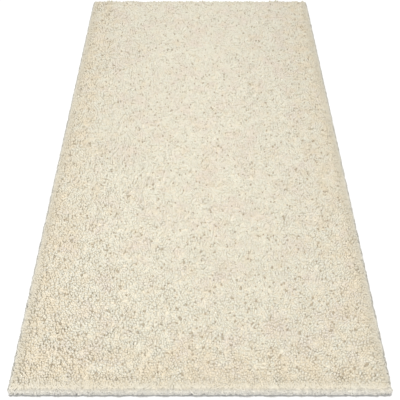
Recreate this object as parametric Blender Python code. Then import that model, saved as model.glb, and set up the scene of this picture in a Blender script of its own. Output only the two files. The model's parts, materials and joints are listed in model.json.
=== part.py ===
"""Shag rug: a woven, hemmed ground with a deep cut pile whose locks spill over all four edges.

Units are metres, +Z is up.  The origin is the middle of the underside, on the floor, and +Y runs
along the rug's length.  A rug is woven in one piece, its pile with its ground, so it is one solid:
a lumpy slab with locks at its rim, over the thin straight edge of the ground's hem.
"""

import random
from collections import namedtuple

import bmesh
import bpy
from mathutils import Vector, noise

# Ground: the woven cloth that the pile is rooted in, at the rug's nominal size.
GROUND_WIDTH = 0.800
GROUND_LENGTH = 1.500
GROUND_THICKNESS = 0.0025
GROUND_CORNER = 0.006

# Pile: standing yarn, measured from the floor.
PILE_HEIGHT = 0.030
PILE_INSET = 0.004
CELLS_ACROSS = 31
CELLS_ALONG = 58

# Lumps: where neighbouring tufts lean together the surface rises, and between them it sinks.
TUFT_RELIEF = 0.0036
TUFT_SWAY = 0.0060
SWELL_RELIEF = 0.0025
SWELL_PITCH = 0.110
SEED = 7

# The rug's edge, ring below ring, from the pile's shoulder to the bottom of the hem.
# outward is measured from the ground's edge, and uneven is how far a point strays.
RimRing = namedtuple("RimRing", "name outward height uneven")
RIM_RINGS = (
    RimRing("shoulder", outward=0.0020, height=0.0250, uneven=0.0012),
    RimRing("belly", outward=0.0060, height=0.0130, uneven=0.0010),
    RimRing("foot", outward=0.0000, height=GROUND_THICKNESS, uneven=0.0),
    RimRing("hem", outward=0.0000, height=0.0000, uneven=0.0),
)
HANGING_BAND = 1
RESTING_BAND = 2

# Locks: four-sided tapering tufts that grow from the rim, each with a knee and a tip.
# outward is measured from the ground's edge, and height is that of a section's middle.
LockSection = namedtuple("LockSection", "name outward height half_width half_height")
HANGING_LOCK = (
    LockSection("knee", outward=0.0092, height=0.0165, half_width=0.0082, half_height=0.0036),
    LockSection("tip", outward=0.0118, height=0.0105, half_width=0.0036, half_height=0.0018),
)
# The lower edge of both sections is at height zero, so this lock rests level on the floor.
RESTING_LOCK = (
    LockSection("knee", outward=0.0085, height=0.0034, half_width=0.0085, half_height=0.0034),
    LockSection("tip", outward=0.0120, height=0.0017, half_width=0.0042, half_height=0.0017),
)

# How the locks differ, taken in turn round the rug. reach lengthens a lock, breadth widens it,
# droop lowers a hanging tip and sway turns the tip along the rim.
LockStyle = namedtuple("LockStyle", "reach breadth droop sway")
LOCK_STYLES = (
    LockStyle(reach=0.0000, breadth=1.00, droop=0.0000, sway=0.0022),
    LockStyle(reach=0.0022, breadth=0.78, droop=0.0026, sway=-0.0030),
    LockStyle(reach=0.0008, breadth=1.12, droop=-0.0016, sway=0.0008),
    LockStyle(reach=0.0018, breadth=0.70, droop=0.0014, sway=0.0034),
    LockStyle(reach=0.0004, breadth=0.92, droop=0.0020, sway=-0.0016),
    LockStyle(reach=0.0014, breadth=1.06, droop=-0.0006, sway=-0.0026),
    LockStyle(reach=0.0022, breadth=0.86, droop=0.0008, sway=0.0012),
)

YARN_COLOUR = (0.790, 0.718, 0.580, 1.0)
YARN_ROUGHNESS = 0.95


def clear_scene():
    for obj in list(bpy.data.objects):
        bpy.data.objects.remove(obj, do_unlink=True)


def rug_collection():
    collection = bpy.data.collections.new("shag_rug")
    bpy.context.scene.collection.children.link(collection)
    return collection


def yarn_material():
    material = bpy.data.materials.new("pile_yarn")
    material.use_nodes = True
    shader = material.node_tree.nodes["Principled BSDF"]
    shader.inputs["Base Color"].default_value = YARN_COLOUR
    shader.inputs["Roughness"].default_value = YARN_ROUGHNESS
    shader.inputs["Metallic"].default_value = 0.0
    return material


def clamp(value, limit):
    return max(-limit, min(limit, value))


def corner_centre(x, y):
    """The middle of the nearest corner's arc, or the foot of the point on the straight beside it."""
    half_width = GROUND_WIDTH / 2 - GROUND_CORNER
    half_length = GROUND_LENGTH / 2 - GROUND_CORNER
    return Vector((clamp(x, half_width), clamp(y, half_length)))


def outward_of(x, y):
    """The direction straight out of the rug at a point of its rim."""
    return (Vector((x, y)) - corner_centre(x, y)).normalized()


def rim_point(x, y, outward):
    """The point of the rug's outline nearest (x, y), that far outside the ground's edge."""
    return corner_centre(x, y) + outward_of(x, y) * (GROUND_CORNER + outward)


def pile_surface(mesh, chance):
    """The pile's top: a grid, rounded at its corners and raised into lumps."""
    bmesh.ops.create_grid(mesh, x_segments=CELLS_ACROSS, y_segments=CELLS_ALONG, size=0.5)
    width = GROUND_WIDTH - 2 * PILE_INSET
    length = GROUND_LENGTH - 2 * PILE_INSET
    for vert in mesh.verts:
        at = Vector((vert.co.x * width, vert.co.y * length))
        if vert.is_boundary:
            at = rim_point(at.x, at.y, -PILE_INSET)
        else:
            at += Vector((chance.uniform(-TUFT_SWAY, TUFT_SWAY), chance.uniform(-TUFT_SWAY, TUFT_SWAY)))
        swell = noise.noise(Vector((at.x, at.y, 0.0)) / SWELL_PITCH) * SWELL_RELIEF
        tuft = chance.uniform(-TUFT_RELIEF, TUFT_RELIEF)
        vert.co = (at.x, at.y, PILE_HEIGHT + swell + tuft)


def rim_edges(mesh):
    return [edge for edge in mesh.edges if edge.is_boundary]


def rim_bands(mesh, chance):
    """The rug's edge, ring below ring. Returns the faces of each band, from the top one down."""
    bands = []
    for ring in RIM_RINGS:
        grown = bmesh.ops.extrude_edge_only(mesh, edges=rim_edges(mesh))["geom"]
        for vert in (part for part in grown if isinstance(part, bmesh.types.BMVert)):
            outward = ring.outward + chance.uniform(-ring.uneven, ring.uneven)
            at = rim_point(vert.co.x, vert.co.y, outward)
            vert.co = (at.x, at.y, ring.height + chance.uniform(-ring.uneven, ring.uneven))
        bands.append([part for part in grown if isinstance(part, bmesh.types.BMFace)])
    return bands


def close_underside(mesh):
    bmesh.ops.contextual_create(mesh, geom=rim_edges(mesh))


def around_rug(face):
    """Orders the faces of a band by their place round the rug."""
    middle = face.calc_center_median()
    return Vector((middle.x, middle.y)).angle_signed(Vector((1.0, 0.0)))


def mean(vectors):
    return sum(vectors, Vector((0.0, 0.0))) / len(vectors)


def grow_lock(mesh, root, sections, style, droop):
    """Draws one face of the rim out into a lock, section by section."""
    foot = mean([rim_point(vert.co.x, vert.co.y, 0.0) for vert in root.verts])
    outward = mean([outward_of(vert.co.x, vert.co.y) for vert in root.verts]).normalized()
    along = Vector((-outward.y, outward.x))
    face = root
    for number, section in enumerate(sections):
        face = bmesh.ops.extrude_discrete_faces(mesh, faces=[face])["faces"][0]
        here = face.calc_center_median()
        centre = foot + outward * (section.outward + style.reach * number) + along * style.sway * number
        for vert in face.verts:
            side = 1 if (Vector(vert.co.xy) - Vector(here.xy)).dot(along) > 0 else -1
            level = 1 if vert.co.z > here.z else -1
            at = centre + along * side * section.half_width * style.breadth
            vert.co = (at.x, at.y, section.height - droop * number + level * section.half_height)


def grow_locks(mesh, bands):
    """A hanging lock on every face below the shoulder, and a resting one on every second face under it."""
    for number, root in enumerate(sorted(bands[HANGING_BAND], key=around_rug)):
        style = LOCK_STYLES[number % len(LOCK_STYLES)]
        grow_lock(mesh, root, HANGING_LOCK, style, style.droop)
    for number, root in enumerate(sorted(bands[RESTING_BAND], key=around_rug)[::2]):
        style = LOCK_STYLES[number % len(LOCK_STYLES)]
        grow_lock(mesh, root, RESTING_LOCK, style, 0.0)


def rug(collection):
    """The rug as one closed solid: lumpy top, bellied edge with its locks, straight hem, flat underside."""
    chance = random.Random(SEED)
    mesh = bmesh.new()
    pile_surface(mesh, chance)
    bands = rim_bands(mesh, chance)
    close_underside(mesh)
    grow_locks(mesh, bands)
    bmesh.ops.recalc_face_normals(mesh, faces=mesh.faces)
    data = bpy.data.meshes.new("rug")
    mesh.to_mesh(data)
    mesh.free()
    data.shade_smooth()
    obj = bpy.data.objects.new("rug", data)
    collection.objects.link(obj)
    data.materials.append(yarn_material())
    return obj


def main():
    clear_scene()
    rug(rug_collection())


main()
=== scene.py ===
"""The looks of a cream shag rug: its woven ground, its dense bed of pile and every loose yarn on top.

The file is laid out as an add-on and run as a script. Each operator makes one piece or one group of
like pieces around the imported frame, and the panel in the 3D view's sidebar lists them in order.
Units are metres. The rug lies on the floor with its length along +Y, and +Z is up.
"""

import json
import math
from collections import namedtuple

import bpy
import numpy as np
from bpy.props import FloatProperty, FloatVectorProperty, IntProperty, PointerProperty
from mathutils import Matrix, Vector, noise
from mathutils.bvhtree import BVHTree

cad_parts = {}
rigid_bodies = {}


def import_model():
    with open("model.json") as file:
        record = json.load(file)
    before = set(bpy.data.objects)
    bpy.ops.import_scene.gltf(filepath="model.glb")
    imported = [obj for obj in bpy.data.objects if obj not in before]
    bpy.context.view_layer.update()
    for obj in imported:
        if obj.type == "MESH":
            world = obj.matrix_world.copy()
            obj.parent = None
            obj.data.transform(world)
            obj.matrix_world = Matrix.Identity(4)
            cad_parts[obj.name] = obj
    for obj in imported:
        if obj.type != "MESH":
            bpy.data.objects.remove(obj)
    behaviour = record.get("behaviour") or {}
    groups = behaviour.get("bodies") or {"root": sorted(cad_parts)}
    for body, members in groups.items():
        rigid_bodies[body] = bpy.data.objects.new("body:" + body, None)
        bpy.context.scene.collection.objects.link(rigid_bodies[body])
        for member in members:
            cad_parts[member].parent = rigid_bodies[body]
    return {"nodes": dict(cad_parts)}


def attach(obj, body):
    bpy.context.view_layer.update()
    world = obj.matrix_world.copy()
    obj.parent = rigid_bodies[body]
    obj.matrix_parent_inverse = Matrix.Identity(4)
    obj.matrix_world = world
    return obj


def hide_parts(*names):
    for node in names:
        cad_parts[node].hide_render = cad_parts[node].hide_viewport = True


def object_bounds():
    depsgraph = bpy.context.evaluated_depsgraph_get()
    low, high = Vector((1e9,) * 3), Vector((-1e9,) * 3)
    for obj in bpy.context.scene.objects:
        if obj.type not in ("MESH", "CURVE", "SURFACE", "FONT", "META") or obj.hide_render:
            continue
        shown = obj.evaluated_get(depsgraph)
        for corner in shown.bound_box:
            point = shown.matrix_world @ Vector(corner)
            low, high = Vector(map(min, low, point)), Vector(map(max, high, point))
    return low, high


bl_info = {
    "name": "Shag rug looks",
    "version": (1, 0, 0),
    "blender": (4, 5, 0),
    "location": "View3D > Sidebar > Rug",
    "description": "Dresses a rug's frame with woven ground, pile bed and loose yarns",
    "category": "Object",
}

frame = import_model()
CAD_LOW, CAD_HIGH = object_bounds()
NODE = "rug"
BODY = "root"
SEED = 11

# A yarn is modelled from its root in lengths, each leaning at its own angle from upright, in
# degrees. roll turns its section, thin is the width of its cut end beside that of the rest, and
# share is the part of the pile's yarns that take this shape.
Bend = namedtuple("Bend", "length lean")
YarnShape = namedtuple("YarnShape", "name bends roll thin share", defaults=(None,))
PILE_YARNS = (
    YarnShape("nodding", (Bend(0.0105, 6), Bend(0.0032, 22)), roll=0, thin=0.62, share=0.20),
    YarnShape("lying", (Bend(0.0100, 12), Bend(0.0038, 44)), roll=45, thin=0.62, share=0.10),
    YarnShape("hooked", (Bend(0.0108, 4), Bend(0.0032, 16)), roll=20, thin=0.62, share=0.20),
    YarnShape("rolling", (Bend(0.0102, 14), Bend(0.0034, 30)), roll=65, thin=0.62, share=0.14),
    YarnShape("leaning", (Bend(0.0106, 8), Bend(0.0032, 18)), roll=10, thin=0.62, share=0.20),
    YarnShape("upright", (Bend(0.0110, 3), Bend(0.0030, 7)), roll=35, thin=0.62, share=0.16),
)
RIM_YARNS = (
    YarnShape("draping", (Bend(0.0095, 68), Bend(0.0110, 124)), roll=45, thin=0.80),
    YarnShape("hanging", (Bend(0.0095, 84), Bend(0.0110, 146)), roll=20, thin=0.80),
    YarnShape("low", (Bend(0.0095, 90), Bend(0.0080, 120)), roll=45, thin=0.80),
    YarnShape("resting", (Bend(0.0095, 91), Bend(0.0080, 94)), roll=0, thin=0.80),
)

# The rows of yarn round the rim, from the shoulder to the floor. shape is one of RIM_YARNS. outward
# is measured from the ground's edge and height from the floor, both at the yarn's root. pitch is the
# distance from one yarn to the next, and spread fans the yarns out, in degrees.
RimRow = namedtuple("RimRow", "name shape outward height pitch spread")
RIM_ROWS = (
    RimRow("brim", "draping", outward=-0.0010, height=0.0215, pitch=0.0031, spread=34.0),
    RimRow("shoulder", "draping", outward=0.0015, height=0.0205, pitch=0.0031, spread=26.0),
    RimRow("chest", "draping", outward=0.0025, height=0.0175, pitch=0.0032, spread=22.0),
    RimRow("waist", "hanging", outward=0.0035, height=0.0160, pitch=0.0032, spread=20.0),
    RimRow("hip", "hanging", outward=0.0040, height=0.0125, pitch=0.0033, spread=18.0),
    RimRow("knee", "low", outward=0.0045, height=0.0085, pitch=0.0034, spread=18.0),
    RimRow("foot", "resting", outward=0.0050, height=0.0036, pitch=0.0036, spread=18.0),
)

# The sides of the dense bed, ring below ring. outward is measured from the ground's edge.
BedRing = namedtuple("BedRing", "name outward height")
BED_RINGS = (
    BedRing("shoulder", outward=0.0072, height=0.0208),
    BedRing("chest", outward=0.0126, height=0.0150),
    BedRing("belly", outward=0.0139, height=0.0085),
    BedRing("foot", outward=0.0125, height=0.0028),
    BedRing("hem", outward=0.0000, height=0.0022),
)

# The pile's side is widest up to the belly's height, and above it draws in by a share of the rise.
# Its outline wavers in a short wave, whose place drifts with a long one. No yarn reaches lower than
# the gap over the floor.
BELLY_HEIGHT = 0.013
SIDE_SLOPE = 0.6
SHORT_WAVE = 0.0061
LONG_WAVE = 0.037
FLOOR_GAP = 0.0004

# A yarn curves sideways by its curl times the square of its reach, more or less by chance. A sunk yarn is
# told from the others by its shade, which is past the range of theirs, and its material paints it dark
# with painted shade.
PILE_CURL = 30.0
RIM_CURL = 26.0
SUNK_SHADE = 2.0

# What the yarn's material takes from its colours, some of which are painted light and shade, and the
# masks that say where.
YARN_COLOURS = ("Light", "Warm", "Blush", "Deep", "Pit", "Shadow", "Pale", "Dusky")
EDGE_MASKS = ("Border", "Lip", "Rim", "Side")

# The studio's lamps. A sun's width is the angle of its disc in degrees. lights names what a lamp
# reaches: the rug or the floor.
Lamp = namedtuple("Lamp", "name kind power width length place aim lights")
LAMPS = (
    Lamp("high_light", "SUN", 0.66, 12.0, 0.0, (-0.05, 0.0, 2.00), (0.0, 0.0, 0.0), "rug"),
    Lamp("even_light", "SUN", 0.87, 20.0, 0.0, (-0.15, -1.70, 2.05), (0.0, 0.0, 0.0), "rug"),
    Lamp("floor_light", "SUN", 2.10, 9.0, 0.0, (0.0, 0.62, 2.00), (0.0, 0.0, 0.0), "floor"),
    Lamp("strip_light", "AREA", 1.6, 0.2, 2.3, (-0.04, 0.60, 0.55), (-0.04, 0.60, 0.0), "rug"),
    Lamp("front_light", "AREA", 33.0, 1.8, 0.9, (-0.40, -1.80, 2.40), (0.0, 0.0, 0.0), "rug"),
)


def length_property(name, description, default):
    return FloatProperty(name=name, description=description, default=default, unit="LENGTH")


def colour_property(name, description, default):
    return FloatVectorProperty(name=name, description=description, default=default, subtype="COLOR")


class RugSize(bpy.types.PropertyGroup):
    """The sizes of the rug's ground and of the bed that its yarns stand in."""

    width: length_property("Width", "Width of the ground cloth", 0.800)
    length: length_property("Length", "Length of the ground cloth", 1.500)
    corner: length_property("Corner", "Radius of the ground's corners", 0.006)
    cloth: length_property("Cloth", "Thickness of the woven ground", 0.0018)
    hem_width: length_property("Hem width", "Width of the turned hem", 0.022)
    hem_fold: length_property("Hem fold", "How far the turned hem stands below the cloth", 0.0007)
    reach: length_property("Reach", "How far the pile reaches beyond the ground", 0.0165)
    ripple: length_property("Ripple", "How far the pile's outline wavers", 0.0006)
    bed_depth: length_property("Bed depth", "How far the dense bed lies under the tips", 0.0062)
    outline_corner: length_property(
        "Outline corner", "Radius of the pile's outline at the corners", 0.007
    )

    def outline(self):
        half = (self.width / 2 + self.reach, self.length / 2 + self.reach)
        return half, self.outline_corner, self.ripple


class YarnSize(bpy.types.PropertyGroup):
    """The sizes of one yarn, and how closely the yarns stand."""

    radius: length_property("Radius", "Radius of a yarn", 0.0032)
    rim_radius: length_property("Rim radius", "Radius of the yarns round the rim", 0.0023)
    sides: IntProperty(name="Sides", description="Sides of a yarn's section", default=4, min=3, max=8)
    pitch: length_property("Pitch", "Distance from one yarn to the next", 0.0054)
    stray: FloatProperty(
        name="Stray", description="How far a yarn strays from its row, in pitches", default=0.36
    )
    tuft: length_property("Tuft size", "Distance between the tufts that yarns lean into", 0.013)
    part: length_property("Part", "How far yarns stand from their rows towards their tuft", 0.0003)
    gather: FloatProperty(
        name="Gather",
        description="Share of a yarn's direction that follows its tuft",
        default=0.10,
        subtype="FACTOR",
    )
    twist: FloatProperty(name="Twist", description="Plies that pass along a yarn's side", default=2.5)
    pits: FloatProperty(
        name="Pits", description="Share of the yarns that have sunk into the bed", default=0.09
    )
    strips: IntProperty(name="Strips", description="Strips that the pile is made in", default=5, min=1)


class RugColours(bpy.types.PropertyGroup):
    """The colours of the yarn and of the ground cloth, among them painted light and shade on the yarn."""

    light: colour_property("Light yarn", "The palest yarns", (0.775, 0.749, 0.643))
    # painted shade towards the long sides and the near end also draws the yarn towards this colour
    warm: colour_property("Warm yarn", "The warmest yarns", (0.772, 0.694, 0.544))
    blush: colour_property("Blush", "Yarns with a faint blush", (0.770, 0.700, 0.610))
    # painted shade: the darker colour near each yarn's root, in the grooves between its plies and in the
    # bed's hollows
    deep: colour_property("Deep yarn", "Yarn near its root", (0.705, 0.650, 0.535))
    # painted shade: the dark colour of the yarns sunk into the bed
    pit: colour_property("Pit", "Yarn sunk out of the light", (0.34, 0.26, 0.16))
    # painted shadow on the lip where the pile turns down
    shadow: colour_property("Lip", "The lip where the pile turns down", (0.640, 0.592, 0.478))
    # painted light: the paler rim at the rug's two ends
    pale: colour_property("Pale rim", "The rim at the rug's two ends", (0.776, 0.755, 0.690))
    # painted shade: the darker rim at the rug's two sides
    dusky: colour_property("Dusky rim", "The rim at the rug's two sides", (0.705, 0.677, 0.588))
    warp: colour_property("Warp", "The ground's lengthwise threads", (0.62, 0.54, 0.41))
    weft: colour_property("Weft", "The ground's crosswise threads", (0.70, 0.62, 0.48))
    worn: colour_property("Worn", "Where the ground's threads have dulled", (0.42, 0.35, 0.25))


class StageLayout(bpy.types.PropertyGroup):
    """Where the camera stands and how bright the studio is."""

    distance: length_property("Distance", "From the rug's middle to the camera's foot", 1.2020)
    height: length_property("Height", "Height of the camera", 1.1966)
    pitch: FloatProperty(
        name="Pitch",
        description="How far the camera looks down",
        default=math.radians(50.565),
        subtype="ANGLE",
    )
    lens: FloatProperty(name="Lens", description="Focal length in millimetres", default=49.89)
    sky: FloatProperty(name="Sky", description="Strength of the white room", default=0.48)
    lamps: FloatProperty(name="Lamps", description="Strength of all the lamps together", default=1.0)


# ---------------------------------------------------------------------------------------- helpers


def deselect_all():
    if bpy.context.object and bpy.context.object.mode != "OBJECT":
        bpy.ops.object.mode_set(mode="OBJECT")
    bpy.ops.object.select_all(action="DESELECT")


def pick(obj):
    deselect_all()
    obj.select_set(True)
    bpy.context.view_layer.objects.active = obj


def edit(obj):
    pick(obj)
    bpy.ops.object.mode_set(mode="EDIT")


def settle(obj, name):
    """Puts a finished object's place into its mesh and names it."""
    pick(obj)
    bpy.ops.object.transform_apply(location=True, rotation=True, scale=True)
    obj.name = name
    obj.data.name = name
    return obj


def dress(obj, material):
    """Gives a piece its material, its body and the node that it stands for."""
    obj.data.materials.clear()
    obj.data.materials.append(material)
    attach(obj, BODY)
    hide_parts(NODE)
    return obj


def pile_tops(points, inside):
    """The height of the frame's lumpy top at each (x, y) point, read inside the limits given."""
    solid = frame["nodes"][NODE].data
    tree = BVHTree.FromPolygons([v.co for v in solid.vertices], [p.vertices for p in solid.polygons])
    above = CAD_HIGH.z + 0.1
    down = Vector((0.0, 0.0, -1.0))
    heights = []
    for x, y in np.clip(points, -inside, inside):
        hit = tree.ray_cast(Vector((x, y, above)), down)[0]
        heights.append(hit.z if hit else np.nan)
    heights = np.array(heights)
    return np.where(np.isnan(heights), np.nanmean(heights), heights)


def ways(angles):
    """The level direction at each angle, as rows of x and y."""
    return np.stack([np.cos(angles), np.sin(angles)], axis=1)


# --------------------------------------------------------------------------------- the yarns' form


def model_yarn(shape, radius, sides):
    """Models one yarn as by hand: a disc extruded section by section, its end turned over each time."""
    deselect_all()
    bpy.ops.mesh.primitive_circle_add(
        vertices=sides, radius=radius, fill_type="NGON", rotation=(0, 0, math.radians(shape.roll))
    )
    obj = settle(bpy.context.object, "yarn_" + shape.name)
    edit(obj)
    bpy.ops.mesh.select_all(action="SELECT")
    centre = Vector((0.0, 0.0, 0.0))
    facing = math.radians(shape.bends[0].lean)
    bpy.ops.transform.rotate(
        value=-facing, orient_axis="Y", orient_type="GLOBAL", center_override=centre
    )
    last = len(shape.bends) - 1
    for number, bend in enumerate(shape.bends):
        angle = math.radians(bend.lean)
        move = Vector((math.sin(angle), 0.0, math.cos(angle))) * bend.length
        centre = centre + move
        bpy.ops.mesh.extrude_region_move(TRANSFORM_OT_translate={"value": move})
        target = math.radians((bend.lean + shape.bends[min(number + 1, last)].lean) / 2)
        bpy.ops.transform.rotate(
            value=facing - target, orient_axis="Y", orient_type="GLOBAL", center_override=centre
        )
        facing = target
        swell = shape.thin if number == last else 1.0
        bpy.ops.transform.resize(value=(swell, swell, swell), center_override=centre)
    bpy.ops.mesh.select_all(action="SELECT")
    bpy.ops.mesh.normals_make_consistent(inside=False)
    # the root is buried in the bed, so its cut face goes
    bpy.ops.mesh.select_all(action="DESELECT")
    bpy.ops.object.mode_set(mode="OBJECT")
    for polygon in obj.data.polygons:
        polygon.select = max(polygon.vertices) < sides
    edit(obj)
    bpy.ops.mesh.delete(type="ONLY_FACE")
    bpy.ops.object.mode_set(mode="OBJECT")
    return obj


class YarnKit:
    """The arrays of a few modelled yarns, all with the same faces, ready to be copied."""

    def __init__(self, shapes, radius, sides):
        made = [model_yarn(shape, radius, sides) for shape in shapes]
        self.points = np.array([[tuple(v.co) for v in obj.data.vertices] for obj in made])
        mesh = made[0].data
        # modelling can leave the faces in any order, so they are put in the order of their points
        faces = sorted(tuple(p.vertices) for p in mesh.polygons)
        self.sizes = np.array([len(face) for face in faces])
        self.corners = np.array([v for face in faces for v in face])
        rings = len(mesh.vertices) // sides
        ring = np.arange(len(mesh.vertices)) // sides
        self.along = ring / (rings - 1)
        disc = self.points[0][:sides] - self.points[0][:sides].mean(0)
        spin = np.arctan2(disc[:, 1], disc[:, 0])
        order = np.argsort(np.argsort(np.mod(spin - spin[0], 2 * np.pi)))
        self.around = self._around(mesh, faces, order, sides)
        self.faces_are_caps = np.array([len({v // sides for v in face}) == 1 for face in faces])
        for obj in made:
            data = obj.data
            bpy.data.objects.remove(obj)
            bpy.data.meshes.remove(data)

    @staticmethod
    def _around(mesh, faces, order, sides):
        """Where each face corner lies round its yarn, from 0 to 1, with the seam's far side at 1."""
        place = np.full(len(mesh.vertices), -1)
        place[:sides] = order
        links = [tuple(edge.vertices) for edge in mesh.edges]
        for _ in range(len(mesh.vertices) // sides):
            for a, b in links:
                if a // sides == b // sides:
                    continue
                if place[a] >= 0 > place[b]:
                    place[b] = place[a]
                if place[b] >= 0 > place[a]:
                    place[a] = place[b]
        around = []
        for face in faces:
            spots = [place[v] for v in face]
            wraps = len(set(spots)) == 2 and max(spots) - min(spots) > 1
            around += [(s + sides if wraps and s == min(spots) else s) / sides for s in spots]
        return np.array(around)

    def plant(self, name, outline, which, roots, azimuth, scale, curl, shade):
        """One mesh with a copy of a yarn at each root, each turned, scaled and curled its own way."""
        count, points = len(roots), self.points.shape[1]
        local = self.points[which] * scale[:, None, None]
        x, z = local[..., 0], local[..., 2]
        y = local[..., 1] + curl[:, None] * x * x
        turn_cos, turn_sin = np.cos(azimuth)[:, None], np.sin(azimuth)[:, None]
        placed = np.stack([x * turn_cos - y * turn_sin, x * turn_sin + y * turn_cos, z], axis=2)
        placed += roots[:, None, :]
        placed = keep_to_outline(placed, outline)
        placed[..., 2] += np.maximum(0.0, FLOOR_GAP - placed[..., 2].min(axis=1))[:, None]
        mesh = bpy.data.meshes.new(name)
        corners, faces = len(self.corners), len(self.sizes)
        mesh.vertices.add(count * points)
        mesh.vertices.foreach_set("co", placed.astype(np.float32).ravel())
        mesh.loops.add(count * corners)
        first_point = np.arange(count)[:, None] * points
        mesh.loops.foreach_set(
            "vertex_index", (self.corners[None, :] + first_point).astype(np.int32).ravel()
        )
        mesh.polygons.add(count * faces)
        starts = np.concatenate([[0], np.cumsum(self.sizes)[:-1]])
        first_corner = np.arange(count)[:, None] * corners
        mesh.polygons.foreach_set(
            "loop_start", (starts[None, :] + first_corner).astype(np.int32).ravel()
        )
        mesh.update(calc_edges=True)
        self._write_maps(mesh, count)
        tint = mesh.attributes.new("shade", "FLOAT", "POINT")
        tint.data.foreach_set("value", np.repeat(shade, points).astype(np.float32))
        mesh.validate()
        mesh.shade_smooth()
        obj = bpy.data.objects.new(name, mesh)
        bpy.context.scene.collection.objects.link(obj)
        return obj

    def _write_maps(self, mesh, count):
        """The map that the material reads, round and along each yarn, and an atlas with a cell a yarn."""
        along = self.along[self.corners]
        yarn = np.stack([self.around, along], axis=1)
        layer = mesh.uv_layers.new(name="yarn")
        layer.uv.foreach_set("vector", np.tile(yarn, (count, 1)).astype(np.float32).ravel())
        # a cell has a margin all round, its yarn's sides below and its cut end above them
        caps = np.repeat(self.faces_are_caps, self.sizes)
        tall = np.where(caps, 0.93 + 0.07 * np.abs(np.sin(2.4 * self.around * np.pi)), along * 0.90)
        cell = np.stack(
            [0.06 + 0.86 * self.around / max(1.0, self.around.max()), 0.05 + 0.88 * tall], axis=1
        )
        across = math.ceil(math.sqrt(count))
        number = np.arange(count)
        corner = np.stack([number % across, number // across], axis=1)
        atlas = (cell[None, :, :] + corner[:, None, :]) / across
        layer = mesh.uv_layers.new(name="OFBake")
        layer.uv.foreach_set("vector", atlas.astype(np.float32).ravel())
        mesh.uv_layers.active = mesh.uv_layers["yarn"]


def keep_to_outline(placed, outline):
    """Draws each yarn back so far that no point of it stands outside the rug's gently waving outline.

    The outline is that of the rug's belly. Above it the side rounds inward to the shoulder.
    """
    half, radius, wave = outline
    core = np.array(half) - radius
    away = placed[..., :2] - np.clip(placed[..., :2], -core, core)
    flat = np.linalg.norm(away, axis=2)
    rounding = np.where(flat > 0.0, np.maximum(0.0, placed[..., 2] - BELLY_HEIGHT) * SIDE_SLOPE, 0.0)
    distance = flat + rounding
    far = distance.argmax(axis=1)
    rows = np.arange(len(placed))
    direction = away[rows, far] / np.maximum(flat[rows, far], 1e-9)[:, None]
    spot = placed[rows, far]
    turn = spot[:, 0] * direction[:, 1] - spot[:, 1] * direction[:, 0]
    ripple = np.sin(turn / SHORT_WAVE + 2.0 * np.sin(turn / LONG_WAVE)) * wave
    excess = np.maximum(0.0, distance[rows, far] - (radius + ripple))
    placed[..., :2] -= (direction * excess[:, None])[:, None, :]
    return placed


def leaning_field(points, size):
    """Which way yarns at each point gather, uphill on a field of soft tufts, and how steeply."""
    reach = size * 0.15  # how far off the slope is read
    angles, slopes = [], []
    for x, y in points:
        here = Vector((x, y, 0.0)) / size
        east = noise.noise(here + Vector((reach / size, 0.0, 0.0))) - noise.noise(here)
        north = noise.noise(here + Vector((0.0, reach / size, 0.0))) - noise.noise(here)
        angles.append(math.atan2(north, east))
        slopes.append(math.hypot(north, east))
    slopes = np.array(slopes)
    return np.array(angles), slopes / np.percentile(slopes, 90)


# --------------------------------------------------------------------------------------- materials


def new_group(name, inputs, outputs):
    tree = bpy.data.node_groups.new(name, "ShaderNodeTree")
    for label, kind, default in inputs:
        socket = tree.interface.new_socket(label, in_out="INPUT", socket_type=kind)
        if default is not None:
            socket.default_value = default
    for label, kind in outputs:
        tree.interface.new_socket(label, in_out="OUTPUT", socket_type=kind)
    start = tree.nodes.new("NodeGroupInput")
    end = tree.nodes.new("NodeGroupOutput")
    return tree, start, end


def feed(tree, value, socket):
    """Gives a socket a number, a colour or another node's output."""
    if isinstance(value, (int, float)):
        socket.default_value = value
    elif isinstance(value, tuple):
        socket.default_value = value[:3] + (1.0,)
    else:
        tree.links.new(value, socket)


def maths(tree, operation, *values):
    node = tree.nodes.new("ShaderNodeMath")
    node.operation = operation
    for value, socket in zip(values, node.inputs):
        feed(tree, value, socket)
    return node.outputs["Value"]


def mixed(tree, factor, first, second):
    """A mix of two colours."""
    node = tree.nodes.new("ShaderNodeMix")
    node.data_type = "RGBA"
    for value, socket in zip((factor, first, second), (node.inputs["Factor"], *node.inputs[6:8])):
        feed(tree, value, socket)
    return node.outputs[2]


def within_one(tree, value):
    """The value, held between 0 and 1."""
    return maths(tree, "MINIMUM", maths(tree, "MAXIMUM", value, 0.0), 1.0)


def half_waves(tree, value):
    """A row of rounded ridges, one for each whole step of the value."""
    return maths(tree, "ABSOLUTE", maths(tree, "SINE", maths(tree, "MULTIPLY", value, math.pi)))


def faded(tree, value, low, high):
    """A soft step from 0 to 1 while the value goes from low to high."""
    node = tree.nodes.new("ShaderNodeMapRange")
    node.interpolation_type = "SMOOTHSTEP"
    node.inputs["From Min"].default_value = low
    node.inputs["From Max"].default_value = high
    tree.links.new(value, node.inputs["Value"])
    return node.outputs["Result"]


def parted(tree, vector):
    """The x and y of a vector."""
    node = tree.nodes.new("ShaderNodeSeparateXYZ")
    tree.links.new(vector, node.inputs["Vector"])
    return node.outputs["X"], node.outputs["Y"]


def noise_node(tree, vector, scale, detail=2.0, roughness=0.5):
    node = tree.nodes.new("ShaderNodeTexNoise")
    tree.links.new(vector, node.inputs["Vector"])
    for label, value in (("Scale", scale), ("Detail", detail), ("Roughness", roughness)):
        feed(tree, value, node.inputs[label])
    return node.outputs["Fac"]


def put(tree, name, maker):
    """Places a node group in a material, and builds it first if no other material has yet."""
    node = tree.nodes.new("ShaderNodeGroup")
    node.node_tree = bpy.data.node_groups.get(name) or maker()
    return node


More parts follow.
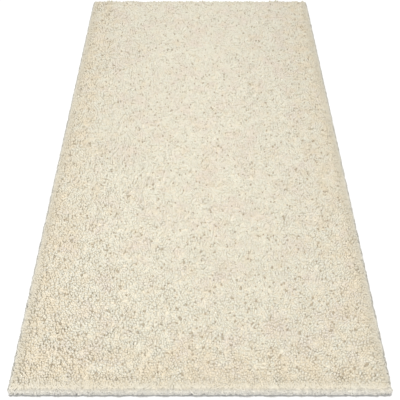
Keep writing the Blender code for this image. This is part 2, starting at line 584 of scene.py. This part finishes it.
def edge_group():
    """Masks for the painted shade at the pile's borders and over its lip, the painted light and shade on
    the rim below that, and the rug's long sides.
    """
    tree, start, end = new_group(
        "edge_fade",
        [
            ("Position", "NodeSocketVector", None),
            ("Half Width", "NodeSocketFloat", 0.4),
            ("Half Length", "NodeSocketFloat", 0.75),
        ],
        [(label, "NodeSocketFloat") for label in EDGE_MASKS],
    )
    x, y = parted(tree, start.outputs["Position"])
    half_length = start.outputs["Half Length"]
    beside = maths(tree, "SUBTRACT", maths(tree, "ABSOLUTE", x), start.outputs["Half Width"])
    beyond = maths(tree, "SUBTRACT", maths(tree, "ABSOLUTE", y), half_length)
    before = maths(tree, "SUBTRACT", maths(tree, "MULTIPLY", y, -1.0), half_length)
    # at the ends the rim's painted light starts farther out
    end_rim = maths(tree, "SUBTRACT", beyond, 0.0055)
    # each mask fades in between two distances from the ground's edge
    for label, distance, low, high in (
        ("Border", maths(tree, "MAXIMUM", beside, before), -0.15, 0.004),
        ("Lip", maths(tree, "MAXIMUM", beside, beyond), -0.024, 0.004),
        ("Rim", maths(tree, "MAXIMUM", beside, end_rim), 0.002, 0.012),
        ("Side", maths(tree, "SUBTRACT", beside, beyond), -0.004, 0.004),
    ):
        tree.links.new(faded(tree, distance, low, high), end.inputs[label])
    return tree


def yarn_colour_group():
    """Colour that changes from yarn to yarn and in soft patches over the rug, with painted shade from tip
    to root, on sunk yarns, towards the borders and over the lip, and painted light and shade round the
    rim.
    """
    tree, start, end = new_group(
        "yarn_colour",
        [
            ("Position", "NodeSocketVector", None),
            ("Shade", "NodeSocketFloat", 0.5),
            ("Along", "NodeSocketFloat", 1.0),
            ("Patch Scale", "NodeSocketFloat", 30.0),
            ("Blush Scale", "NodeSocketFloat", 21.0),
        ]
        + [(label, "NodeSocketColor", None) for label in YARN_COLOURS]
        + [(label, "NodeSocketFloat", 0.0) for label in EDGE_MASKS],
        [("Colour", "NodeSocketColor")],
    )
    given = start.outputs
    # the patches warm in places, and a little more from one yarn to the next; painted shade warms and
    # darkens them towards the long sides and the near end
    patch = noise_node(tree, given["Position"], given["Patch Scale"])
    drift = maths(tree, "MULTIPLY_ADD", patch, 3.2, -1.76)
    border_shaded = maths(tree, "MULTIPLY_ADD", given["Border"], 0.70, drift)
    warmth = within_one(tree, maths(tree, "MULTIPLY_ADD", given["Shade"], 0.2, border_shaded))
    rosy = noise_node(tree, given["Position"], given["Blush Scale"], 1.0)
    rosiness = within_one(tree, maths(tree, "MULTIPLY_ADD", rosy, 4.0, -1.9))
    base = mixed(tree, rosiness, given["Light"], given["Blush"])
    warmed = mixed(tree, warmth, base, given["Warm"])
    # the sunk yarns are painted dark with painted shade
    sunk = maths(tree, "GREATER_THAN", given["Shade"], SUNK_SHADE - 0.5)
    tip = mixed(tree, maths(tree, "MULTIPLY", sunk, 0.75), warmed, given["Pit"])
    # painted shade darkens each yarn from its tip towards its root
    whole = mixed(tree, faded(tree, given["Along"], 0.10, 0.70), given["Deep"], tip)
    # painted shadow where the pile turns out of the light over its lip, most of all at the sides
    share = maths(tree, "MULTIPLY_ADD", given["Side"], 0.28, 0.62)
    lip_shaded = mixed(tree, maths(tree, "MULTIPLY", given["Lip"], share), whole, given["Shadow"])
    # round the rim, painted light at the two ends and painted shade at the two sides
    rim = mixed(tree, given["Side"], given["Pale"], given["Dusky"])
    tree.links.new(mixed(tree, given["Rim"], lip_shaded, rim), end.inputs["Colour"])
    return tree


def twisted_plies_group():
    """The grooves between a yarn's twisted plies, and the fine fibres that run along them."""
    tree, start, end = new_group(
        "twisted_plies",
        [
            ("Map", "NodeSocketVector", None),
            ("Plies", "NodeSocketFloat", 3.0),
            ("Turns", "NodeSocketFloat", 2.5),
        ],
        [("Height", "NodeSocketFloat"), ("Groove", "NodeSocketFloat")],
    )
    around, along = parted(tree, start.outputs["Map"])
    round_yarn = maths(tree, "MULTIPLY", around, start.outputs["Plies"])
    wound = maths(tree, "MULTIPLY_ADD", along, start.outputs["Turns"], round_yarn)
    ply = maths(tree, "POWER", half_waves(tree, wound), 0.5)
    fibres = tree.nodes.new("ShaderNodeCombineXYZ")
    tree.links.new(maths(tree, "MULTIPLY", wound, 7.0), fibres.inputs["X"])
    tree.links.new(maths(tree, "MULTIPLY", along, 3.0), fibres.inputs["Y"])
    fine = noise_node(tree, fibres.outputs["Vector"], 1.0)
    tree.links.new(maths(tree, "MULTIPLY_ADD", fine, 0.35, ply), end.inputs["Height"])
    tree.links.new(maths(tree, "SUBTRACT", 1.0, ply), end.inputs["Groove"])
    return tree


def fuzz_group():
    """Fine loose fibre, which makes the roughness uneven."""
    tree, start, end = new_group(
        "fibre_fuzz",
        [("Position", "NodeSocketVector", None), ("Roughness", "NodeSocketFloat", 0.9)],
        [("Roughness", "NodeSocketFloat")],
    )
    fine = noise_node(tree, start.outputs["Position"], 900.0, 2.0, 0.7)
    even = maths(tree, "SUBTRACT", start.outputs["Roughness"], 0.05)
    tree.links.new(maths(tree, "MULTIPLY_ADD", fine, 0.10, even), end.inputs["Roughness"])
    return tree


def plain_weave_group():
    """Over-and-under threads: which thread is on top, and how high it stands."""
    tree, start, end = new_group(
        "plain_weave",
        [("Position", "NodeSocketVector", None), ("Threads", "NodeSocketFloat", 400.0)],
        [("Warp On Top", "NodeSocketFloat"), ("Height", "NodeSocketFloat")],
    )
    x, y = parted(tree, start.outputs["Position"])
    across = maths(tree, "MULTIPLY", x, start.outputs["Threads"])
    down = maths(tree, "MULTIPLY", y, start.outputs["Threads"])
    parity = maths(tree, "ADD", maths(tree, "FLOOR", across), maths(tree, "FLOOR", down))
    top = maths(tree, "FLOORED_MODULO", parity, 2.0)

    def thread(over, along):
        return maths(tree, "MULTIPLY", maths(tree, "POWER", over, 0.6), maths(tree, "POWER", along, 0.25))

    round_x, round_y = half_waves(tree, across), half_waves(tree, down)
    blend = tree.nodes.new("ShaderNodeMix")
    tree.links.new(top, blend.inputs["Factor"])
    tree.links.new(thread(round_y, round_x), blend.inputs["A"])
    tree.links.new(thread(round_x, round_y), blend.inputs["B"])
    tree.links.new(top, end.inputs["Warp On Top"])
    tree.links.new(blend.outputs["Result"], end.inputs["Height"])
    return tree


def start_material(name, roughness, sheen):
    """A matte material roughened by loose fibre, with its tree, its shader and its coordinates."""
    material = bpy.data.materials.new(name)
    material.use_nodes = True
    tree = material.node_tree
    shader = tree.nodes["Principled BSDF"]
    shader.inputs["Sheen Weight"].default_value = sheen
    shader.inputs["Sheen Roughness"].default_value = 0.6
    shader.inputs["Specular IOR Level"].default_value = 0.25
    place = tree.nodes.new("ShaderNodeTexCoord").outputs["Object"]
    fuzz = put(tree, "fibre_fuzz", fuzz_group)
    fuzz.inputs["Roughness"].default_value = roughness
    tree.links.new(place, fuzz.inputs["Position"])
    tree.links.new(fuzz.outputs["Roughness"], shader.inputs["Roughness"])
    return material, tree, shader, place


def add_bump(tree, shader, height, strength, distance):
    bump = tree.nodes.new("ShaderNodeBump")
    bump.inputs["Strength"].default_value = strength
    bump.inputs["Distance"].default_value = distance
    tree.links.new(height, bump.inputs["Height"])
    tree.links.new(bump.outputs["Normal"], shader.inputs["Normal"])


def yarn_colour(tree, place, colours, shade, along):
    """The yarn's colours, warmer with painted shade at the rug's borders, darker with painted shadow over
    its lip, and round its rim paler with painted light at the ends and darker with painted shade at the
    sides.
    """
    node = put(tree, "yarn_colour", yarn_colour_group)
    edge = put(tree, "edge_fade", edge_group)
    tree.links.new(place, edge.inputs["Position"])
    for label, value in (("Position", place), ("Shade", shade), ("Along", along)):
        tree.links.new(value, node.inputs[label])
    for label in YARN_COLOURS:
        feed(tree, tuple(getattr(colours, label.lower())), node.inputs[label])
    for label in EDGE_MASKS:
        tree.links.new(edge.outputs[label], node.inputs[label])
    return node.outputs["Colour"]


def yarn_material(context):
    """Soft matte yarn of twisted plies, a little different from yarn to yarn."""
    if "spun_yarn" in bpy.data.materials:
        return bpy.data.materials["spun_yarn"]
    colours = context.scene.rug_colours
    material, tree, shader, place = start_material("spun_yarn", 0.92, 0.15)
    shade = tree.nodes.new("ShaderNodeAttribute")
    shade.attribute_name = "shade"
    yarn_map = tree.nodes.new("ShaderNodeUVMap")
    yarn_map.uv_map = "yarn"
    along = parted(tree, yarn_map.outputs["UV"])[1]
    ply = put(tree, "twisted_plies", twisted_plies_group)
    ply.inputs["Turns"].default_value = context.scene.rug_yarn.twist
    tree.links.new(yarn_map.outputs["UV"], ply.inputs["Map"])
    colour = yarn_colour(tree, place, colours, shade.outputs["Fac"], along)
    # painted shade darkens the grooves between the plies
    groove = maths(tree, "MULTIPLY", ply.outputs["Groove"], 0.45)
    tree.links.new(mixed(tree, groove, colour, tuple(colours.deep)), shader.inputs["Base Color"])
    add_bump(tree, shader, ply.outputs["Height"], 0.6, 0.0009)
    return material


def bed_material(colours):
    """The shaded mass of yarn below the loose tips."""
    material, tree, shader, place = start_material("bed_yarn", 0.94, 0.05)
    curls = tree.nodes.new("ShaderNodeTexVoronoi")
    curls.feature = "SMOOTH_F1"
    curls.inputs["Scale"].default_value = 190.0
    curls.inputs["Smoothness"].default_value = 0.4
    tree.links.new(place, curls.inputs["Vector"])
    depth = curls.outputs["Distance"]
    # painted shade darkens the bed's hollows between its curls
    along = maths(tree, "SUBTRACT", 0.62, maths(tree, "MULTIPLY", depth, 0.6))
    colour = yarn_colour(tree, place, colours, noise_node(tree, place, 130.0), along)
    tree.links.new(colour, shader.inputs["Base Color"])
    add_bump(tree, shader, maths(tree, "SUBTRACT", 1.0, depth), 0.9, 0.003)
    return material


def cloth_material(colours):
    """Plain-woven ground: two thread colours, over and under."""
    material, tree, shader, place = start_material("woven_cloth", 0.9, 0.05)
    weave = put(tree, "plain_weave", plain_weave_group)
    tree.links.new(place, weave.inputs["Position"])
    threads = mixed(tree, weave.outputs["Warp On Top"], tuple(colours.weft), tuple(colours.warp))
    wear = maths(tree, "MULTIPLY", noise_node(tree, place, 160.0, 3.0), 0.35)
    tree.links.new(mixed(tree, wear, threads, tuple(colours.worn)), shader.inputs["Base Color"])
    add_bump(tree, shader, weave.outputs["Height"], 0.8, 0.0006)
    return material


# --------------------------------------------------------------------------------------- operators


class RUG_OT_pile_bed(bpy.types.Operator):
    """Makes the dense mass of yarn that fills the rug below the loose tips"""

    bl_idname = "rug.pile_bed"
    bl_label = "Pile bed"

    def execute(self, context):
        size = context.scene.rug_size
        inset, rim = 0.001, 0.014
        deselect_all()
        bpy.ops.mesh.primitive_grid_add(
            x_subdivisions=56, y_subdivisions=104, size=1.0, location=(0.0, 0.0, 0.02)
        )
        obj = bpy.context.object
        obj.scale = (size.width - 2 * inset, size.length - 2 * inset, 1.0)
        settle(obj, "pile_bed")
        points = np.array([tuple(v.co) for v in obj.data.vertices])
        # the frame's top is read inside its sloping rim
        inside = np.array([size.width / 2, size.length / 2]) - rim
        points[:, 2] = pile_tops(points[:, :2], inside) - size.bed_depth
        obj.data.vertices.foreach_set("co", points.astype(np.float32).ravel())
        # the sides, drawn down from the top's rim in rings
        edit(obj)
        bpy.ops.mesh.select_mode(type="EDGE")
        bpy.ops.mesh.select_all(action="SELECT")
        bpy.ops.mesh.region_to_loop()
        whole = Vector((size.width - 2 * inset, size.length - 2 * inset))
        for ring in BED_RINGS:
            grown = Vector((size.width + 2 * ring.outward, size.length + 2 * ring.outward))
            bpy.ops.mesh.extrude_region_move(TRANSFORM_OT_translate={"value": (0.0, 0.0, -0.001)})
            bpy.ops.transform.resize(
                value=(grown.x / whole.x, grown.y / whole.y, 0.0),
                center_override=(0.0, 0.0, ring.height),
            )
            whole = grown
        bpy.ops.mesh.edge_face_add()
        bpy.ops.mesh.select_all(action="SELECT")
        bpy.ops.mesh.normals_make_consistent(inside=False)
        bpy.ops.object.mode_set(mode="OBJECT")
        obj.data.shade_smooth()
        dress(obj, bed_material(context.scene.rug_colours))
        return {"FINISHED"}


class RUG_OT_pile_yarns(bpy.types.Operator):
    """Plants the loose yarns that stand, nod and lie all over the rug, in lengthwise strips"""

    bl_idname = "rug.pile_yarns"
    bl_label = "Pile yarns"

    def execute(self, context):
        size, yarn = context.scene.rug_size, context.scene.rug_yarn
        chance = np.random.default_rng(SEED)
        kit = YarnKit(PILE_YARNS, yarn.radius, yarn.sides)
        material = yarn_material(context)
        overhang, rim = 0.006, 0.018
        reach = np.array(Vector((size.width / 2 + overhang, size.length / 2 + overhang)))
        columns, rows = (round(2 * side / yarn.pitch) for side in reach)
        x, y = np.meshgrid(
            np.linspace(-reach[0], reach[0], columns), np.linspace(-reach[1], reach[1], rows)
        )
        x = x + np.where(np.arange(rows) % 2, 0.25, -0.25)[:, None] * yarn.pitch
        spots = np.stack([x.ravel(), y.ravel()], axis=1)
        spots += chance.uniform(-1, 1, spots.shape) * yarn.stray * yarn.pitch
        # a yarn that strays over the edge is turned back by as much
        spots -= 2.0 * np.sign(spots) * np.maximum(0.0, np.abs(spots) - reach)
        count = len(spots)
        field, steepness = leaning_field(spots, yarn.tuft)
        spots += ways(field) * (steepness * yarn.part)[:, None]
        tops = pile_tops(spots, reach - rim)
        which = chance.choice(len(PILE_YARNS), size=count, p=[shape.share for shape in PILE_YARNS])
        scale = chance.uniform(0.86, 1.14, count)
        azimuth = field + chance.normal(0.0, 1.0, count) * math.pi * (1.0 - yarn.gather)
        # near the edges the yarns lean out over the rim, and stand lower
        edge, fan, sag = 0.011, 1.2, 0.0055
        past = np.abs(spots) - (reach - edge)
        over = past.max(axis=1)
        away = np.where(past > 0, np.sign(spots), 0.0)
        outward = np.arctan2(away[:, 1], away[:, 0])
        azimuth = np.where(over > 0, outward + chance.normal(0.0, fan, count), azimuth)
        curl = chance.normal(0.0, 1.0, count) * PILE_CURL
        rise = kit.points[:, :, 2].max(axis=1)[which] * scale
        uneven = 0.0023
        roots = np.column_stack([spots, tops - rise + chance.normal(0.0, uneven, count)])
        roots[:, 2] -= np.clip(over / edge, 0.0, 1.0) ** 2 * sag
        # a few yarns have sunk into the bed and left a pit, and their material paints them dark with
        # painted shade
        pit_depth = 0.0038
        sunk = chance.random(count) < yarn.pits
        roots[:, 2] -= np.where(sunk, pit_depth, 0.0)
        # a root stands back from its spot, so that the yarn's bent end lies over it
        back = kit.points[:, -2 * yarn.sides :, 0].mean(axis=1)[which] * scale
        roots[:, :2] -= ways(azimuth) * back[:, None]
        shade = np.where(sunk, SUNK_SHADE, chance.beta(2.0, 2.6, count))
        strip = ((spots[:, 0] + reach[0]) / (2 * reach[0]) * yarn.strips).astype(int)
        strip = np.minimum(strip, yarn.strips - 1)
        for number in range(yarn.strips):
            mine = strip == number
            chosen = [values[mine] for values in (which, roots, azimuth, scale, curl, shade)]
            obj = kit.plant(f"pile_strip_{number + 1}", size.outline(), *chosen)
            dress(obj, material)
        return {"FINISHED"}


class RUG_OT_rim_locks(bpy.types.Operator):
    """Hangs the yarns that spill over the rug's edges and rest on the floor"""

    bl_idname = "rug.rim_locks"
    bl_label = "Rim locks"

    def execute(self, context):
        size, yarn = context.scene.rug_size, context.scene.rug_yarn
        chance = np.random.default_rng(SEED + 1)
        kit = YarnKit(RIM_YARNS, yarn.rim_radius, yarn.sides)
        rows = [self._row(row, size, chance) for row in RIM_ROWS]
        which, roots, azimuth = (np.concatenate(parts) for parts in zip(*rows))
        count = len(which)
        scale = chance.uniform(0.92, 1.14, count)
        curl = chance.normal(0.0, 1.0, count) * RIM_CURL
        shade = np.clip(chance.beta(2.0, 2.6, count), 0.0, 1.0)
        obj = kit.plant("rim_locks", size.outline(), which, roots, azimuth, scale, curl, shade)
        dress(obj, yarn_material(context))
        return {"FINISHED"}

    @staticmethod
    def _row(row, size, chance):
        """The kind, root and direction of each yarn of one row round the rug."""
        kind = [shape.name for shape in RIM_YARNS].index(row.shape)
        radius = size.corner + 0.008
        stray, corner_fill = 0.0015, 0.022
        straight_x, straight_y = size.width - 2 * radius, size.length - 2 * radius
        whole = 2 * (straight_x + straight_y) + 2 * math.pi * radius
        count = round(whole / row.pitch)
        places = (np.arange(count) + chance.uniform(-0.4, 0.4, count)) * whole / count
        roots, azimuth = [], []
        for place in np.mod(places, whole):
            spot, direction = rim_place(place, size.width / 2, size.length / 2, radius)
            way_x, way_y = math.cos(direction), math.sin(direction)
            # round a corner the roots stand farther out, so that the pile fills it square
            square = 1.0 / max(abs(way_x), abs(way_y)) - 1.0
            away = row.outward + square * corner_fill + chance.uniform(-stray, stray)
            height = row.height + chance.uniform(-stray, stray)
            roots.append((spot.x + way_x * away, spot.y + way_y * away, height))
            azimuth.append(direction + math.radians(chance.normal(0.0, row.spread)))
        return np.full(count, kind), np.array(roots), np.array(azimuth)


def rim_place(place, half_width, half_length, radius):
    """The point at that distance round a rounded rectangle, and the direction straight out of it."""
    arc = math.pi / 2 * radius
    x, y = half_width - radius, half_length - radius
    sides = (
        (Vector((-x, -y)), Vector((1, 0)), 2 * x, -math.pi / 2),
        (Vector((x, -y)), Vector((0, 1)), 2 * y, 0.0),
        (Vector((x, y)), Vector((-1, 0)), 2 * x, math.pi / 2),
        (Vector((-x, y)), Vector((0, -1)), 2 * y, math.pi),
    )
    for start, along, length, outward in sides:
        out = Vector((math.cos(outward), math.sin(outward)))
        if place <= length:
            return start + along * place + out * radius, outward
        place -= length
        centre = start + along * length
        if place <= arc:
            direction = outward + place / radius
            return centre + Vector((math.cos(direction), math.sin(direction))) * radius, direction
        place -= arc
    return start + out * radius, outward


class RUG_OT_ground(bpy.types.Operator):
    """Makes the woven ground cloth with its turned hem, under the pile"""

    bl_idname = "rug.ground"
    bl_label = "Woven ground"

    def execute(self, context):
        size = context.scene.rug_size
        deselect_all()
        bpy.ops.mesh.primitive_plane_add(size=1.0)
        obj = bpy.context.object
        obj.scale = (size.width, size.length, 1.0)
        settle(obj, "woven_ground")
        edit(obj)
        bpy.ops.mesh.select_all(action="SELECT")
        fold_width = 0.002
        bpy.ops.mesh.inset(thickness=size.hem_width, depth=0.0)
        bpy.ops.mesh.inset(thickness=fold_width, depth=0.0)
        bpy.ops.transform.translate(value=(0.0, 0.0, size.hem_fold))
        bpy.ops.mesh.select_all(action="DESELECT")
        bpy.ops.object.mode_set(mode="OBJECT")
        for vertex in obj.data.vertices:
            vertex.select = abs(vertex.co.x) > size.width / 2 - 0.001
        edit(obj)
        bpy.ops.mesh.bevel(offset=size.corner, segments=5, affect="VERTICES")
        bpy.ops.object.mode_set(mode="OBJECT")
        wall = obj.modifiers.new("cloth", "SOLIDIFY")
        wall.thickness = size.cloth
        wall.offset = -1.0
        soft = obj.modifiers.new("soft_edge", "BEVEL")
        soft.width = 0.0004
        soft.segments = 2
        for modifier in list(obj.modifiers):
            bpy.ops.object.modifier_apply(modifier=modifier.name)
        # the hem lies on the floor
        obj.location.z = -min(vertex.co.z for vertex in obj.data.vertices)
        settle(obj, "woven_ground")
        bpy.ops.object.shade_smooth_by_angle(angle=math.radians(40))
        dress(obj, cloth_material(context.scene.rug_colours))
        return {"FINISHED"}


class RUG_OT_studio(bpy.types.Operator):
    """Sets up the pale floor, the soft light and the camera at the photograph's angle"""

    bl_idname = "rug.studio"
    bl_label = "Studio"

    def execute(self, context):
        layout = context.scene.rug_stage
        deselect_all()
        bpy.ops.mesh.primitive_plane_add(size=14.0)
        floor = settle(bpy.context.object, "floor")
        paint = bpy.data.materials.new("studio_floor")
        paint.use_nodes = True
        shader = paint.node_tree.nodes["Principled BSDF"]
        shader.inputs["Base Color"].default_value = (0.96, 0.96, 0.96, 1.0)
        shader.inputs["Roughness"].default_value = 0.9
        shader.inputs["Specular IOR Level"].default_value = 0.0
        floor.data.materials.append(paint)
        world = bpy.data.worlds.new("white_room")
        world.use_nodes = True
        room = world.node_tree.nodes["Background"]
        room.inputs["Color"].default_value = (1.0, 1.0, 1.0, 1.0)
        room.inputs["Strength"].default_value = layout.sky
        context.scene.world = world
        for lamp in LAMPS:
            self._hang(context, lamp, layout.lamps, floor)
        lens = bpy.data.cameras.new("photo_view")
        lens.lens = layout.lens
        lens.sensor_width = 36.0
        camera = bpy.data.objects.new("photo_view", lens)
        camera.location = (0.0, -layout.distance, layout.height)
        camera.rotation_euler = (math.pi / 2 - layout.pitch, 0.0, 0.0)
        context.scene.collection.objects.link(camera)
        context.scene.camera = camera
        context.scene.view_settings.view_transform = "Standard"
        return {"FINISHED"}

    @staticmethod
    def _hang(context, lamp, strength, floor):
        """Hangs one lamp and says what it reaches."""
        data = bpy.data.lights.new(lamp.name, lamp.kind)
        data.energy = lamp.power * strength
        if lamp.kind == "SUN":
            data.angle = math.radians(lamp.width)
        else:
            data.shape = "RECTANGLE"
            data.size, data.size_y = lamp.width, lamp.length
        obj = bpy.data.objects.new(lamp.name, data)
        obj.location = lamp.place
        obj.rotation_euler = (Vector(lamp.aim) - obj.location).to_track_quat("-Z", "Y").to_euler()
        obj.visible_camera = False
        context.scene.collection.objects.link(obj)
        lit = bpy.data.collections.new("lit_by_" + lamp.name)
        for piece in (piece for piece in context.scene.objects if piece.type == "MESH"):
            if (piece == floor) == (lamp.lights == "floor"):
                lit.objects.link(piece)
        obj.light_linking.receiver_collection = lit


class RUG_PT_looks(bpy.types.Panel):
    """Lists the rug's pieces in the order in which they are made"""

    bl_idname = "RUG_PT_looks"
    bl_label = "Shag rug"
    bl_space_type = "VIEW_3D"
    bl_region_type = "UI"
    bl_category = "Rug"

    def draw(self, context):
        for settings in (
            context.scene.rug_size,
            context.scene.rug_yarn,
            context.scene.rug_colours,
            context.scene.rug_stage,
        ):
            box = self.layout.box()
            for name in settings.bl_rna.properties.keys():
                if name not in ("rna_type", "name"):
                    box.prop(settings, name)
        for operator in OPERATORS:
            self.layout.operator(operator.bl_idname)


GROUPS = (
    ("rug_size", RugSize),
    ("rug_yarn", YarnSize),
    ("rug_colours", RugColours),
    ("rug_stage", StageLayout),
)
OPERATORS = (RUG_OT_pile_bed, RUG_OT_pile_yarns, RUG_OT_rim_locks, RUG_OT_ground, RUG_OT_studio)


def register():
    for name, group in GROUPS:
        bpy.utils.register_class(group)
        setattr(bpy.types.Scene, name, PointerProperty(type=group))
    for operator in OPERATORS:
        bpy.utils.register_class(operator)
    bpy.utils.register_class(RUG_PT_looks)


def unregister():
    bpy.utils.unregister_class(RUG_PT_looks)
    for operator in reversed(OPERATORS):
        bpy.utils.unregister_class(operator)
    for name, group in reversed(GROUPS):
        delattr(bpy.types.Scene, name)
        bpy.utils.unregister_class(group)


def main():
    register()
    bpy.ops.rug.pile_bed()
    bpy.ops.rug.pile_yarns()
    bpy.ops.rug.rim_locks()
    bpy.ops.rug.ground()
    bpy.ops.rug.studio()


if __name__ == "__main__":
    main()
